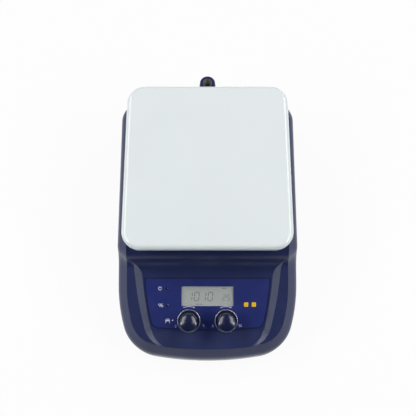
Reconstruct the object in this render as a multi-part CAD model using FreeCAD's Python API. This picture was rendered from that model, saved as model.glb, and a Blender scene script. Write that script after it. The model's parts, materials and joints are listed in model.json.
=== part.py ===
import FreeCAD, Part
import math
import os
from FreeCAD import Vector as V

os.makedirs("parts", exist_ok=True)

# overall sizes, millimetres
body_width = 215.0
body_depth = 309.0
lug_reach = 32.0
overall_depth = body_depth + lug_reach
deck_z = 84.0
plate_lift = 28.0
plate_top = deck_z + plate_lift
front_y = -overall_depth / 2
rear_y = front_y + body_depth

# moulded housing
wall = 3.0
base_z = 6.0
draft = math.radians(3.0)
shoulder = 11.0
shoulder_round = 13.0
corner_radius = 46.0
flank_radius = 180.0
rear_radius = 28.0
front_sweep = math.radians(9.5)
corner_sweep = math.radians(64.5)
side_taper = math.radians(0.57)
rim_front_z = 42.0
rim_front_d = 10.0
rim_slope = math.radians(13.5)
riser_d = 104.0
riser_lean = math.radians(23.0)
crest_round = 20.0
valley_round = 12.0
panel_valley_round = 22.0

# sunken control panel
panel_tilt = math.radians(12.5)
panel_d = 32.0
panel_z = 42.6
front_slope = math.radians(1.6)
panel_wall_run = 1.35
panel_half = body_width / 2 - 31.5
film = 0.5
film_seat = 0.35
film_gap = 0.4

# heating plate and what carries it
plate_width = 184.0
plate_depth = 188.0
plate_thick = 9.0
plate_corner = 28.0
plate_edge = 5.5
plate_y = front_y + 209.3
plate_bottom = plate_top - plate_thick
heater_r = 75.0
heater_thick = 3.0
pan_bottom = deck_z + 4.0
pan_sheet = 1.0
pan_rim_z = plate_bottom - 2.5
pan_inset = 10.0
post_x = 66.0
post_y = 68.0
post_bore = 2.7
post_screw = 2.35
lower_spacer_r = 7.0
upper_spacer_r = 6.0
hub_cover_r = 51.0
hub_cover_top = deck_z + 3.0
hub_cover_skin = 1.5
probe_r = 3.0
cutout_offset = 45.0

# stirring motor
bracket_top = deck_z - 15.0
bracket_sheet = 2.5
bracket_half = 52.0
bracket_bolt = 44.0
motor_r = 31.0
motor_wall = 2.0
motor_top = bracket_top - bracket_sheet
motor_bottom = bracket_top - 44.0
pilot_r = 12.0
shaft_r = 4.0
shaft_gap = 0.05
bearing_r = 8.0
bearing_h = 5.0
rotor_r = 16.5
air_gap = 0.5
motor_bolt_r = 20.0
magnet_r = 10.0
magnet_h = 8.0
magnet_offset = 32.0
yoke_z = bracket_top + 3.5
yoke_h = 4.0

# knobs and encoders, heights measured from the panel face
knob_x = 21.2
knob_s = 12.2
knob_gap = 1.6
knob_push = 0.8
knob_ring_r = 13.0
knob_ring_t = 1.0
knob_ring_h = 2.2
knob_cap_r = 10.4
knob_top = 24.5
knob_crown = 3.6
stem_r = 3.0
stem_gap = 0.05
bush_r = 3.5
bush_hole = 3.7
board_low = -16.6
board_high = -15.0
encoder_top = -8.5

# display and lamps
lcd_s = 39.7
lcd_w = 59.4
lcd_h = 22.4
lamp_r = 1.5
lamp_hole = 1.6
lamp_spots = ((-46.4, 48.6), (-45.4, 29.4))

# base, feet, rear field
sheet_low = 6.5
sheet = 1.5
foot_r = 9.0
foot_stem = 3.0
foot_front = (body_width / 2 - 29.5, front_y + 48.5)
foot_rear = (body_width / 2 - 31.5, rear_y - 34.5)
foot_spots = tuple((sx * x, y) for x, y in (foot_front, foot_rear) for sx in (-1, 1))
column_r = 4.6
column_hole = 2.0
column_spots = ((body_width / 2 - 35.5, 30.0), (body_width / 2 - 11.5, 150.0),
                (body_width / 2 - 15.5, body_depth - 25.0))
field_y = rear_y - 4.0
field_z = (base_z + 7.0, deck_z - 24.0)
field_half = 78.0
inlet_x = 42.0
inlet_z = field_z[0] + 23.0
switch_x = -27.0
switch_z = field_z[0] + 25.0
pivot_r = 1.0
pivot_in = 1.0
sensor_x = -56.0
sensor_z = field_z[0] + 25.0
sensor_r = 6.5

# support rod socket
lug_r = 9.5
lug_y = overall_depth / 2 - lug_r
lug_top = deck_z - 12.0
insert_r = 6.0
insert_core = 4.25
insert_bottom = lug_top - 32.0

# power board
pcb_y = (plate_y - 96.8, plate_y - 36.8)
pcb_half = body_width / 2 - 31.5
pcb_z = base_z + 12.0
pcb_t = 1.6


def cyl(r, z0, z1, x=0.0, y=0.0):
    return Part.makeCylinder(r, z1 - z0, V(x, y, z0))


def tube(r_out, r_in, z0, z1, x=0.0, y=0.0):
    return cyl(r_out, z0, z1, x, y).cut(cyl(r_in, z0 - 1, z1 + 1, x, y))


def box(x0, x1, y0, y1, z0, z1):
    return Part.makeBox(x1 - x0, y1 - y0, z1 - z0, V(x0, y0, z0))


def fuse(shapes):
    return shapes[0].multiFuse(shapes[1:]).removeSplitter() if len(shapes) > 1 else shapes[0]


def pack(shapes):
    return Part.makeCompound(shapes)


def slab(w, d, r, z0, z1, x=0.0, y=0.0):
    """plate with rounded corners, centred on x, y"""
    s = box(x - w / 2, x + w / 2, y - d / 2, y + d / 2, z0, z1)
    upright = [e for e in s.Edges if abs(e.Vertexes[0].Z - e.Vertexes[1].Z) > 1e-6]
    return s.makeFillet(r, upright)


def edges_at(shape, z, tol=1e-3):
    """edges lying at one height"""
    return [e for e in shape.Edges if abs(e.BoundBox.ZMin - z) < tol and abs(e.BoundBox.ZMax - z) < tol]


def turned(points):
    """solid of revolution about Z from (r, z) points"""
    wire = Part.makePolygon([V(r, 0, z) for r, z in points] + [V(points[0][0], 0, points[0][1])])
    return Part.Face(wire).revolve(V(0, 0, 0), V(0, 0, 1), 360)


def on_panel(shape, x=0.0, s=0.0):
    """moves a shape built about Z from the origin onto the control panel"""
    tilt = FreeCAD.Rotation(V(1, 0, 0), math.degrees(panel_tilt))
    base = V(x, front_y + panel_d, panel_z) + tilt.multVec(V(0, s, 0))
    moved = shape.copy()
    moved.Placement = FreeCAD.Placement(base, tilt).multiply(moved.Placement)
    return moved


def at(shape, x=0.0, y=0.0, z=0.0):
    moved = shape.copy()
    moved.translate(V(x, y, z))
    return moved


def body_outline(inset, z):
    """closed plan outline of the housing, moved in by inset"""
    s1 = math.sin(front_sweep)
    c1 = math.cos(front_sweep)
    s2 = math.sin(front_sweep + corner_sweep)
    c2 = math.cos(front_sweep + corner_sweep)
    end = math.pi / 2 - side_taper
    half = body_width / 2
    rear_x = half - rear_radius + rear_radius * math.sin(end)
    rear_start = body_depth - rear_radius - rear_radius * math.cos(end)
    reach_x = corner_radius * (s2 - s1) + flank_radius * (math.sin(end) - s2)
    reach_y = corner_radius * (c1 - c2) + flank_radius * (c2 - math.cos(end))
    taper = math.tan(side_taper)
    front_radius = (rear_x - reach_x - taper * (rear_start - reach_y)) / (s1 - taper * (1 - c1))
    rf, rc, rk, rr = (r - inset for r in (front_radius, corner_radius, flank_radius, rear_radius))
    cf = V(0, front_y + front_radius, z)
    cc = cf + V((front_radius - corner_radius) * s1, -(front_radius - corner_radius) * c1, 0)
    ck = cc + V((corner_radius - flank_radius) * s2, -(corner_radius - flank_radius) * c2, 0)
    cr = V(half - rear_radius, rear_y - rear_radius, z)

    def on(c, r, a):
        return c + V(r * math.sin(a), -r * math.cos(a), 0)

    def mirrored(p):
        return V(-p.x, p.y, p.z)

    def arc(c, r, a, b, flip=False):
        p = [on(c, r, t) for t in (a, (a + b) / 2, b)]
        if flip:
            p = [mirrored(q) for q in reversed(p)]
        return Part.Arc(*p).toShape()

    turn = front_sweep + corner_sweep
    edges = [arc(cf, rf, -front_sweep, front_sweep)]
    edges.append(arc(cc, rc, front_sweep, turn))
    edges.append(arc(ck, rk, turn, end))
    edges.append(Part.LineSegment(on(ck, rk, end), on(cr, rr, end)).toShape())
    edges.append(arc(cr, rr, end, math.pi))
    back = on(cr, rr, math.pi)
    edges.append(Part.LineSegment(back, mirrored(back)).toShape())
    edges.append(arc(cr, rr, end, math.pi, True))
    edges.append(Part.LineSegment(mirrored(on(cr, rr, end)), mirrored(on(ck, rk, end))).toShape())
    edges.append(arc(ck, rk, turn, end, True))
    edges.append(arc(cc, rc, front_sweep, turn, True))
    return Part.Wire(edges)


def side_profile(points, radii, half=130.0):
    """prism across the body from (d, z) points with a corner radius each, d from the front"""
    n = len(points)
    ends = []
    for i in range(n):
        p0, p1, p2 = (V(0, front_y + points[(i + k) % n][0], points[(i + k) % n][1]) for k in (-1, 0, 1))
        if not radii[i]:
            ends.append((p1, None, p1))
            continue
        a = (p0 - p1).normalize()
        b = (p2 - p1).normalize()
        bend = a.getAngle(b) / 2
        reach = radii[i] / math.tan(bend)
        middle = (a + b).normalize() * (radii[i] / math.sin(bend) - radii[i])
        ends.append((p1 + a * reach, p1 + middle, p1 + b * reach))
    edges = []
    for i in range(n):
        start, middle, stop = ends[i]
        if middle is not None:
            edges.append(Part.Arc(start, middle, stop).toShape())
        following = ends[(i + 1) % n][0]
        if (following - stop).Length > 1e-6:
            edges.append(Part.LineSegment(stop, following).toShape())
    prism = Part.Face(Part.Wire(edges)).extrude(V(2 * half, 0, 0))
    return at(prism, -half)


def rim_z(d):
    return rim_front_z + (d - rim_front_d) * math.tan(rim_slope)


def floor_z(d):
    return panel_z + (d - panel_d) * math.tan(panel_tilt)


def riser_top_d(z):
    return riser_d + (z - floor_z(riser_d)) * math.tan(riser_lean)


def upper_edges(solid, steep):
    """edges between an upright wall and whatever lies above it"""
    edges = []
    for e in solid.Edges:
        if e.BoundBox.ZMin < base_z + 5:
            continue
        slopes = []
        for f in solid.ancestorsOfType(e, Part.Face):
            u0, u1, v0, v1 = f.ParameterRange
            slopes.append(abs(f.normalAt((u0 + u1) / 2, (v0 + v1) / 2).z))
        if sum(1 for k in slopes if k < 0.12) == 1 and max(slopes) > steep:
            edges.append(e)
    return edges


def form(inset, rounded):
    """drafted body moved in by inset on every side, with a sloping shoulder all round"""
    high = deck_z + 20
    low = body_outline(inset, base_z)
    up = body_outline(inset + (high - base_z) * math.tan(draft), high)
    walls = Part.makeLoft([low, up], True, True)
    d0 = -20.0
    shift = inset * math.tan((math.pi / 2 - riser_lean - rim_slope) / 2)
    d_valley = riser_d + shift
    for _ in range(20):
        z = rim_z(d_valley) - inset / math.cos(rim_slope)
        d_valley = riser_top_d(z) + inset / math.cos(riser_lean)
    z_valley = rim_z(d_valley) - inset / math.cos(rim_slope)
    z_deck = deck_z - inset
    d_crest = riser_top_d(z_deck) + inset / math.cos(riser_lean)
    points = [(d0, -5), (d0, rim_z(d0) - inset / math.cos(rim_slope)), (d_valley, z_valley),
              (d_crest, z_deck), (body_depth + 30, z_deck), (body_depth + 30, -5)]
    radii = [0, 0, valley_round + inset, crest_round - inset, 0, 0]
    solid = walls.common(side_profile(points, radii)).Solids[0]
    solid = solid.makeChamfer(shoulder, upper_edges(solid, 0.12))
    return solid.makeFillet(shoulder_round, upper_edges(solid, 0.12)) if rounded else solid


def recess_outline(z):
    """foot of the sunken panel's side walls, in panel coordinates"""
    w = panel_half
    r = [V(w - 0.7, 69, z), V(w - 4.5, 35.8, z), V(w - 9.8, 9.0, z), V(w - 15.2, -3.6, z),
         V(w - 31, -12.6, z), V(0, -15.4, z)]
    l = [V(-p.x, p.y, p.z) for p in r]
    back = 84.0
    return Part.Wire([
        Part.LineSegment(V(-w, back, z), V(w, back, z)).toShape(),
        Part.LineSegment(V(w, back, z), r[0]).toShape(),
        Part.Arc(r[0], r[1], r[2]).toShape(),
        Part.Arc(r[2], r[3], r[4]).toShape(),
        Part.Arc(r[4], r[5], l[4]).toShape(),
        Part.Arc(l[4], l[3], l[2]).toShape(),
        Part.Arc(l[2], l[1], l[0]).toShape(),
        Part.LineSegment(l[0], V(-w, back, z)).toShape()])


def recess(grow):
    """space of the sunken panel, grown by a wall thickness on every side"""
    rise = 14.0
    low = recess_outline(0).makeOffset2D(grow + 0.001)
    up = recess_outline(0).makeOffset2D(grow + rise * panel_wall_run)
    up.translate(V(0, 0, rise))
    prism = on_panel(Part.makeLoft([low, up], True, True))
    prism.translate(V(0, 0, -grow))
    top = 130.0
    d_front = rim_front_d
    z_front = panel_z - (panel_d - d_front) * math.tan(front_slope)
    lower = grow / math.cos(panel_tilt)
    d_low = riser_d
    for _ in range(20):
        z = floor_z(d_low) - lower
        d_low = riser_top_d(z) + (grow / math.cos(riser_lean) if grow else 0)
    z_low = floor_z(d_low) - lower
    d_top = riser_top_d(top) + (grow / math.cos(riser_lean) if grow else 0)
    points = [(-20, z_front - 30 * math.tan(front_slope) - lower), (panel_d, panel_z - lower), (d_low, z_low),
              (d_top, top), (-20, top)]
    radii = [0, 0, panel_valley_round + grow * 0.5, 0, 0]
    return prism.common(side_profile(points, radii))


def film_outline(gap=0.0):
    """face of the control film in panel coordinates"""
    w = panel_half
    r = [V(w - 3.5, 61, 0), V(w - 6.1, 35.5, 0), V(w - 10.6, 12.0, 0), V(w - 13.4, 6.2, 0), V(w - 21, 3.2, 0),
         V(0, 0.8, 0)]
    l = [V(-p.x, p.y, p.z) for p in r]
    wire = Part.Wire([
        Part.LineSegment(l[0], r[0]).toShape(),
        Part.Arc(r[0], r[1], r[2]).toShape(),
        Part.Arc(r[2], r[3], r[4]).toShape(),
        Part.Arc(r[4], r[5], l[4]).toShape(),
        Part.Arc(l[4], l[3], l[2]).toShape(),
        Part.Arc(l[2], l[1], l[0]).toShape()])
    return Part.Face(wire.makeOffset2D(gap) if gap else wire)


def lug():
    """rod socket lug on the rear wall, widening towards the wall"""
    y0 = field_y - 1
    flare = 12.0
    low = insert_bottom - 4
    tip = V(0, lug_y + lug_r, low)
    right = V(lug_r, lug_y, low)
    left = V(-lug_r, lug_y, low)
    wire = Part.Wire([
        Part.Arc(left, tip, right).toShape(),
        Part.LineSegment(right, V(flare, rear_y - 3, low)).toShape(),
        Part.LineSegment(V(flare, rear_y - 3, low), V(flare, y0, low)).toShape(),
        Part.LineSegment(V(flare, y0, low), V(-flare, y0, low)).toShape(),
        Part.LineSegment(V(-flare, y0, low), V(-flare, rear_y - 3, low)).toShape(),
        Part.LineSegment(V(-flare, rear_y - 3, low), left).toShape()])
    body = Part.Face(wire).extrude(V(0, 0, lug_top - low))
    rim = [e for e in edges_at(body, lug_top) if e.BoundBox.YMax > rear_y - 2]
    body = body.makeFillet(1.4, rim)
    foot = [e for e in edges_at(body, low) if e.BoundBox.YMax > rear_y - 2]
    return body.makeChamfer(2.5, foot)


def rear_field(y0, y1, grow=0.0):
    """rounded block behind the flat rear field of sockets"""
    w = 2 * (field_half + grow)
    h = field_z[1] - field_z[0] + 2 * grow
    block = slab(w, h, 5 + grow, 0, y1 - y0)
    block.rotate(V(0, 0, 0), V(1, 0, 0), 90)
    return at(block, 0, y1, (field_z[0] + field_z[1]) / 2)


def inlet_cut(y0, y1, gap=0.0):
    return box(inlet_x - 13.9 - gap, inlet_x + 13.9 + gap, y0, y1, inlet_z - 15 - gap, inlet_z + 15 + gap)


def switch_cut(y0, y1, gap=0.0):
    return box(switch_x - 6.8 - gap, switch_x + 6.8 + gap, y0, y1, switch_z - 9.8 - gap, switch_z + 9.8 + gap)


def y_cyl(r, y0, y1, x, z):
    return Part.makeCylinder(r, y1 - y0, V(x, y0, z), V(0, 1, 0))


def x_cyl(r, x0, x1, y, z):
    return Part.makeCylinder(r, x1 - x0, V(x0, y, z), V(1, 0, 0))


def side_slots():
    """air slots low in both side walls"""
    cuts = []
    for k in range(9):
        y = 30 + 9.0 * k
        cuts.append(box(-120, 120, y, y + 3.2, 20, 42))
    return cuts


def column_points():
    return [(sx * x, front_y + d) for x, d in column_spots for sx in (-1, 1)]


def post_points():
    return [(sx * post_x, plate_y + sy * post_y) for sx in (-1, 1) for sy in (-1, 1)]


def upper_housing():
    whole = form(0.0, True)
    outside = whole.cut(recess(0.0))
    hollow = form(wall, False).cut(recess(wall))
    under = box(-150, 150, front_y - 10, rear_y + 10, base_z - 5, base_z + 0.001)
    hub = cyl(hub_cover_r, deck_z - 1, hub_cover_top, 0, plate_y)
    hub = hub.makeFillet(1.2, edges_at(hub, hub_cover_top))
    pads = rear_field(field_y - wall, rear_y, 3.0).common(whole)
    posts = [cyl(column_r, sheet_low + sheet, deck_z, x, y) for x, y in column_points()]
    posts += [cyl(5.0, bracket_top, deck_z - 1, x, plate_y + y)
              for x in (-bracket_bolt, bracket_bolt) for y in (-bracket_bolt, bracket_bolt)]
    ribs = [box(-1, 1, front_y + 2, front_y + 30, 12, deck_z), box(-74, 74, front_y + 112, front_y + 114, 60, deck_z)]
    inner = fuse(posts + ribs).common(outside)
    shell = outside.cut(hollow.fuse(under))
    shell = shell.fuse([hub, pads, inner])
    cuts = [rear_field(field_y, rear_y + 20)]
    cuts.append(cyl(hub_cover_r - 3.5, deck_z - 12, hub_cover_top - hub_cover_skin, 0, plate_y))
    cuts += [cyl(column_hole, sheet_low + sheet - 1, 26, x, y) for x, y in column_points()]
    cuts += [cyl(column_hole, bracket_top - 1, 79, x, plate_y + y)
             for x in (-bracket_bolt, bracket_bolt) for y in (-bracket_bolt, bracket_bolt)]
    cuts += [cyl(post_bore, deck_z - 12, deck_z + 2, x, y) for x, y in post_points()]
    cuts += [cyl(6.0, deck_z - 12, deck_z + 2, 0, plate_y - 62)]
    cuts += [on_panel(cyl(bush_hole, -12, 4), sx * knob_x, knob_s) for sx in (-1, 1)]
    cuts += [on_panel(cyl(lamp_hole, -12, 4), x, s) for x, s in lamp_spots]
    cuts.append(on_panel(box(-lcd_w / 2 - 0.3, lcd_w / 2 + 0.3, -lcd_h / 2 - 0.3, lcd_h / 2 + 0.3, -12, 4), 0, lcd_s))
    seat = film_outline(film_gap).extrude(V(0, 0, 6))
    cuts.append(on_panel(at(seat, 0, 0, -film_seat)))
    cuts.append(inlet_cut(field_y - 10, rear_y + 5, 0.3))
    cuts.append(switch_cut(field_y - 10, rear_y + 5, 0.2))
    cuts.append(y_cyl(sensor_r + 1.3, field_y - 10, rear_y + 5, sensor_x, sensor_z))
    cuts += [y_cyl(1.6, field_y - 10, rear_y, inlet_x + sx * 20, inlet_z) for sx in (-1, 1)]
    cuts += side_slots()
    shell = shell.cut(cuts).fuse(lug())
    return shell.cut(cyl(insert_r + 0.03, insert_bottom, lug_top + 5, 0, lug_y))


def base_plate():
    plate = Part.Face(body_outline(wall + 0.6, sheet_low)).extrude(V(0, 0, sheet))
    cuts = [cyl(2.2, 0, 20, x, y) for x, y in column_points()]
    cuts += [cyl(foot_stem + 0.1, 0, 20, x, y) for x, y in foot_spots]
    cuts += [cyl(1.7, 0, 20, x, y) for x, y in standoff_points()]
    for row in (-1, 1):
        for k in range(9):
            x = -40 + 10 * k
            cuts.append(slab(4, 26, 1.99, 0, 20, x, plate_y + row * 52))
    return plate.cut(cuts)


def feet():
    shape = turned([(0, 0.8), (5.5, 0.8), (6.0, 0), (foot_r - 1.5, 0), (foot_r - 0.6, 0.8), (foot_r, sheet_low),
                    (foot_stem, sheet_low), (foot_stem, sheet_low + sheet), (foot_stem + 0.9, sheet_low + sheet),
                    (foot_stem - 0.6, sheet_low + sheet + 3.2), (0, sheet_low + sheet + 3.2)])
    return pack([at(shape, x, y) for x, y in foot_spots])


def pan_head_screw(head_r, head_h, shank_r, length, tip=1.0):
    """screw pointing up from z = 0 (under the head), head below, cross recess in the head"""
    head = cyl(head_r, -head_h, 0)
    head = head.makeFillet(head_h * 0.45, edges_at(head, -head_h))
    cross = [box(-head_r * 0.55, head_r * 0.55, -0.35, 0.35, -head_h - 1, -head_h * 0.45)]
    cross.append(box(-0.35, 0.35, -head_r * 0.55, head_r * 0.55, -head_h - 1, -head_h * 0.45))
    shank = cyl(shank_r, 0, length)
    shank = shank.makeChamfer(min(tip, shank_r * 0.5), edges_at(shank, length))
    return head.cut(cross).fuse(shank)


def base_screws():
    screw = pan_head_screw(3.8, 2.4, column_hole - 0.05, 16)
    return pack([at(screw, x, y, sheet_low) for x, y in column_points()])


def top_plate():
    plate = slab(plate_width, plate_depth, plate_corner, plate_bottom, plate_top, 0, plate_y)
    plate = plate.makeFillet(plate_edge, edges_at(plate, plate_top))
    plate = plate.makeFillet(1.0, edges_at(plate, plate_bottom))
    cuts = [cyl(heater_r + 0.5, plate_bottom - 1, plate_bottom + heater_thick, 0, plate_y)]
    cuts += [cyl(post_screw + 0.05, plate_bottom - 1, plate_bottom + 6.5, x, y) for x, y in post_points()]
    cuts.append(cyl(probe_r + 0.1, plate_bottom, plate_top - 3, 0, plate_y))
    return plate.cut(cuts)


def heating_element():
    disc = cyl(heater_r, plate_bottom, plate_bottom + heater_thick, 0, plate_y)
    cuts = [cyl(8, 0, 200, 0, plate_y)]
    for sx in (-1, 1):
        cuts.append(box(sx * 9 - 0.9, sx * 9 + 0.9, plate_y - 66, plate_y - 58, 0, 200))
    return disc.cut(cuts)


def heater_terminals():
    """two flat blades hanging from the heater through the pan into the housing"""
    blades = []
    for sx in (-1, 1):
        blade = box(sx * 3.2 - 0.4, sx * 3.2 + 0.4, plate_y - 64.2, plate_y - 59.8, deck_z - 8, plate_bottom)
        foot = box(min(sx * 3.2, sx * 7), max(sx * 3.2, sx * 7), plate_y - 64.2, plate_y - 59.8,
                   plate_bottom - 0.8, plate_bottom)
        blades.append(blade.fuse(foot).cut(cyl(0.9, 0, 0.1)))
    return pack(blades)


def insulation():
    w = plate_width - 2 * pan_inset - 6
    d = plate_depth - 2 * pan_inset - 6
    block = slab(w, d, 18, pan_bottom + pan_sheet, plate_bottom, 0, plate_y)
    cuts = [cyl(upper_spacer_r + 0.6, 0, 200, x, y) for x, y in post_points()]
    cuts.append(cyl(8, 0, 200, 0, plate_y))
    cuts.append(box(-8, 8, plate_y - 67, plate_y - 57, 0, 200))
    cuts.append(cyl(7.5, 0, pan_bottom + pan_sheet + 8, cutout_offset, plate_y - cutout_offset))
    return block.cut(cuts)


def heat_pan():
    w = plate_width - 2 * pan_inset
    d = plate_depth - 2 * pan_inset
    pan = slab(w, d, 20, pan_bottom, pan_rim_z, 0, plate_y)
    pan = pan.makeFillet(2.5, edges_at(pan, pan_bottom))
    inner = slab(w - 2 * pan_sheet, d - 2 * pan_sheet, 19, pan_bottom + pan_sheet, pan_rim_z + 5, 0, plate_y)
    inner = inner.makeFillet(1.5, edges_at(inner, pan_bottom + pan_sheet))
    cuts = [inner, cyl(4.5, 0, 200, 0, plate_y), box(-7, 7, plate_y - 66, plate_y - 58, 0, 200)]
    cuts += [cyl(post_bore, 0, 200, x, y) for x, y in post_points()]
    return pan.cut(cuts)


def lower_spacers():
    ring = tube(lower_spacer_r, post_bore, deck_z, pan_bottom)
    ring = ring.makeChamfer(0.5, edges_at(ring, deck_z)[:1])
    return pack([at(ring, x, y) for x, y in post_points()])


def upper_spacers():
    ring = tube(upper_spacer_r, post_bore, pan_bottom + pan_sheet, plate_bottom)
    return pack([at(ring, x, y) for x, y in post_points()])


def plate_screws():
    low = deck_z - wall
    screw = pan_head_screw(4.6, 3.0, post_screw, plate_bottom + 5.5 - low)
    return pack([at(screw, x, y, low) for x, y in post_points()])


def plate_probe():
    body = cyl(probe_r, pan_bottom + 2, plate_top - 3, 0, plate_y)
    collar = cyl(6.5, pan_bottom + pan_sheet, pan_bottom + 3, 0, plate_y)
    tail = cyl(1.6, pan_bottom - 0.4, pan_bottom + pan_sheet, 0, plate_y)
    return fuse([body, collar, tail])


def thermal_cutout():
    z0 = pan_bottom + pan_sheet
    can = cyl(7.0, z0, z0 + 6, cutout_offset, plate_y - cutout_offset)
    can = can.makeFillet(1.0, edges_at(can, z0 + 6))
    return can


def motor_bracket():
    half = bracket_half
    top = slab(2 * half, 2 * half, 6, motor_top, bracket_top, 0, plate_y)
    flanges = [box(sx * half - (bracket_sheet if sx > 0 else 0), sx * half + (bracket_sheet if sx < 0 else 0),
                   plate_y - 40, plate_y + 40, motor_top - 9, motor_top + 0.5) for sx in (-1, 1)]
    part = top.fuse(flanges)
    cuts = [cyl(pilot_r + 0.05, 0, 200, 0, plate_y)]
    cuts += [cyl(2.2, 0, 200, x, plate_y + y) for x in (-bracket_bolt, bracket_bolt)
             for y in (-bracket_bolt, bracket_bolt)]
    cuts += [cyl(1.7, 0, 200, x, y) for x, y in motor_bolts()]
    for a in range(4):
        slot = slab(30, 7, 3.4, 0, 200, 0, 40)
        slot.rotate(V(0, 0, 0), V(0, 0, 1), 90 * a)
        cuts.append(at(slot, 0, plate_y))
    return part.cut(cuts).removeSplitter()


def bracket_screws():
    screw = pan_head_screw(3.6, 2.6, column_hole - 0.05, 12)
    return pack([at(screw, x, plate_y + y, motor_top) for x in (-bracket_bolt, bracket_bolt)
                 for y in (-bracket_bolt, bracket_bolt)])


def motor_bolts():
    return [(motor_bolt_r * math.cos(a), plate_y + motor_bolt_r * math.sin(a))
            for a in (math.radians(45 + 90 * k) for k in range(4))]


def motor_screws():
    screw = pan_head_screw(2.7, 1.9, 1.45, 6)
    screw.rotate(V(0, 0, 0), V(1, 0, 0), 180)
    return pack([at(screw, x, y, bracket_top) for x, y in motor_bolts()])


def motor_housing():
    can = cyl(motor_r, motor_bottom + 4, motor_top, 0, plate_y)
    can = can.makeFillet(2.0, edges_at(can, motor_top))
    can = can.fuse(cyl(pilot_r, motor_top - 1, bracket_top, 0, plate_y))
    cuts = [cyl(motor_r - motor_wall, 0, motor_top - 5, 0, plate_y), cyl(6.0, 0, 200, 0, plate_y)]
    cuts.append(cyl(bearing_r, bracket_top - bearing_h - 0.5, 200, 0, plate_y))
    cuts += [cyl(1.5, motor_top - 5.5, motor_top + 1, x, y) for x, y in motor_bolts()]
    for k in range(8):
        slot = slab(5, 12, 2.4, 0, 12)
        slot.rotate(V(0, 0, 0), V(1, 0, 0), 90)
        slot = at(slot, 0, motor_r + 6, 0)
        slot.rotate(V(0, 0, 0), V(0, 0, 1), 22.5 + 45 * k)
        cuts.append(at(slot, 0, plate_y, motor_bottom + 19))
    return can.cut(cuts)


def motor_end_cap():
    cap = cyl(motor_r, motor_bottom, motor_bottom + 4, 0, plate_y)
    cap = cap.makeFillet(1.5, edges_at(cap, motor_bottom))
    spigot = tube(motor_r - motor_wall - 0.1, motor_r - 5, motor_bottom + 3, motor_bottom + 7, 0, plate_y)
    hub = cyl(10.5, motor_bottom + 3, motor_bottom + 8, 0, plate_y)
    cuts = [cyl(bearing_r, motor_bottom + 2, 200, 0, plate_y), cyl(5.5, 0, 200, 0, plate_y)]
    return fuse([cap, spigot, hub]).cut(cuts)


def bearings():
    ring = tube(bearing_r - 0.02, shaft_r + shaft_gap, 0, bearing_h)
    groove = tube(6.9, 5.3, bearing_h - 0.5, bearing_h + 1)
    ring = ring.cut(groove)
    return pack([at(ring, 0, plate_y, bracket_top - bearing_h - 0.5), at(ring, 0, plate_y, motor_bottom + 2)])


def stator_core():
    z0 = motor_bottom + 14
    z1 = motor_top - 11
    ring = tube(motor_r - motor_wall - 0.05, motor_r - 7, z0, z1)
    inner = rotor_r + air_gap
    teeth = []
    for k in range(9):
        tooth = box(inner + 1, motor_r - 5, -2.2, 2.2, z0, z1)
        shoe = box(inner - 1, inner + 2, -4.6, 4.6, z0, z1)
        both = tooth.fuse(shoe)
        both.rotate(V(0, 0, 0), V(0, 0, 1), 40 * k)
        teeth.append(both)
    core = fuse([ring] + teeth).cut(cyl(inner, 0, 200))
    return at(core, 0, plate_y)


def stator_windings():
    z0 = motor_bottom + 14
    z1 = motor_top - 11
    coils = []
    for k in range(9):
        coil = box(rotor_r + 3.2, motor_r - 7.4, -3.9, 3.9, z0 - 2.2, z1 + 2.2)
        coil = coil.makeFillet(1.2, coil.Edges)
        coil = coil.cut(box(0, 60, -2.3, 2.3, z0 - 0.1, z1 + 0.1))
        coil.rotate(V(0, 0, 0), V(0, 0, 1), 40 * k)
        coils.append(at(coil, 0, plate_y))
    return pack(coils)


def rotor_core():
    core = tube(rotor_r, shaft_r + 0.02, motor_bottom + 13, motor_top - 10, 0, plate_y)
    return core


def motor_shaft():
    shaft = cyl(shaft_r, motor_bottom + 1, yoke_z + yoke_h, 0, plate_y)
    return shaft.makeChamfer(0.5, edges_at(shaft, motor_bottom + 1))


def magnet_yoke():
    reach = magnet_offset + magnet_r
    bar = slab(2 * reach, 2 * magnet_r, magnet_r - 0.01, yoke_z, yoke_z + yoke_h, 0, plate_y)
    hub = cyl(9.0, bracket_top + 1, yoke_z + 1, 0, plate_y)
    return bar.fuse(hub).cut(cyl(shaft_r + 0.02, 0, 200, 0, plate_y))


def magnets():
    top = yoke_z + yoke_h
    disc = cyl(magnet_r - 0.5, top, top + magnet_h)
    disc = disc.makeChamfer(0.6, edges_at(disc, top + magnet_h))
    return pack([at(disc, sx * magnet_offset, plate_y) for sx in (-1, 1)])


def control_film():
    sheet_top = film_outline().extrude(V(0, 0, film))
    part = at(sheet_top, 0, 0, -film_seat)
    cuts = [cyl(6.4, -2, 2, sx * knob_x, knob_s) for sx in (-1, 1)]
    cuts += [cyl(lamp_hole, -2, 2, x, s) for x, s in lamp_spots]
    cuts.append(box(-lcd_w / 2, lcd_w / 2, lcd_s - lcd_h / 2, lcd_s + lcd_h / 2, -2, 2))
    return on_panel(part.cut(cuts))


def lcd_window():
    pane = slab(lcd_w, lcd_h, 0.6, -1.35, -film_seat)
    return on_panel(pane, 0, lcd_s)


def lcd_module():
    view = box(-lcd_w / 2, lcd_w / 2, -lcd_h / 2, lcd_h / 2, -5, -1.35)
    frame = slab(lcd_w + 8, lcd_h + 8, 1.5, -9, -wall - 0.1)
    legs = [box(x - 0.3, x + 0.3, sy * 13 - 0.3, sy * 13 + 0.3, board_high, -8.5)
            for x in range(-28, 29, 7) for sy in (-1, 1)]
    return on_panel(fuse([view, frame] + legs), 0, lcd_s)


def lamp(x, s):
    body = turned([(0, board_high), (2.4, board_high), (2.4, -5.0), (lamp_r, -5.0), (lamp_r, -0.2),
                   (1.2, 0.45), (0.7, 0.75), (0, 0.85)])
    return on_panel(body, x, s)


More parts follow.
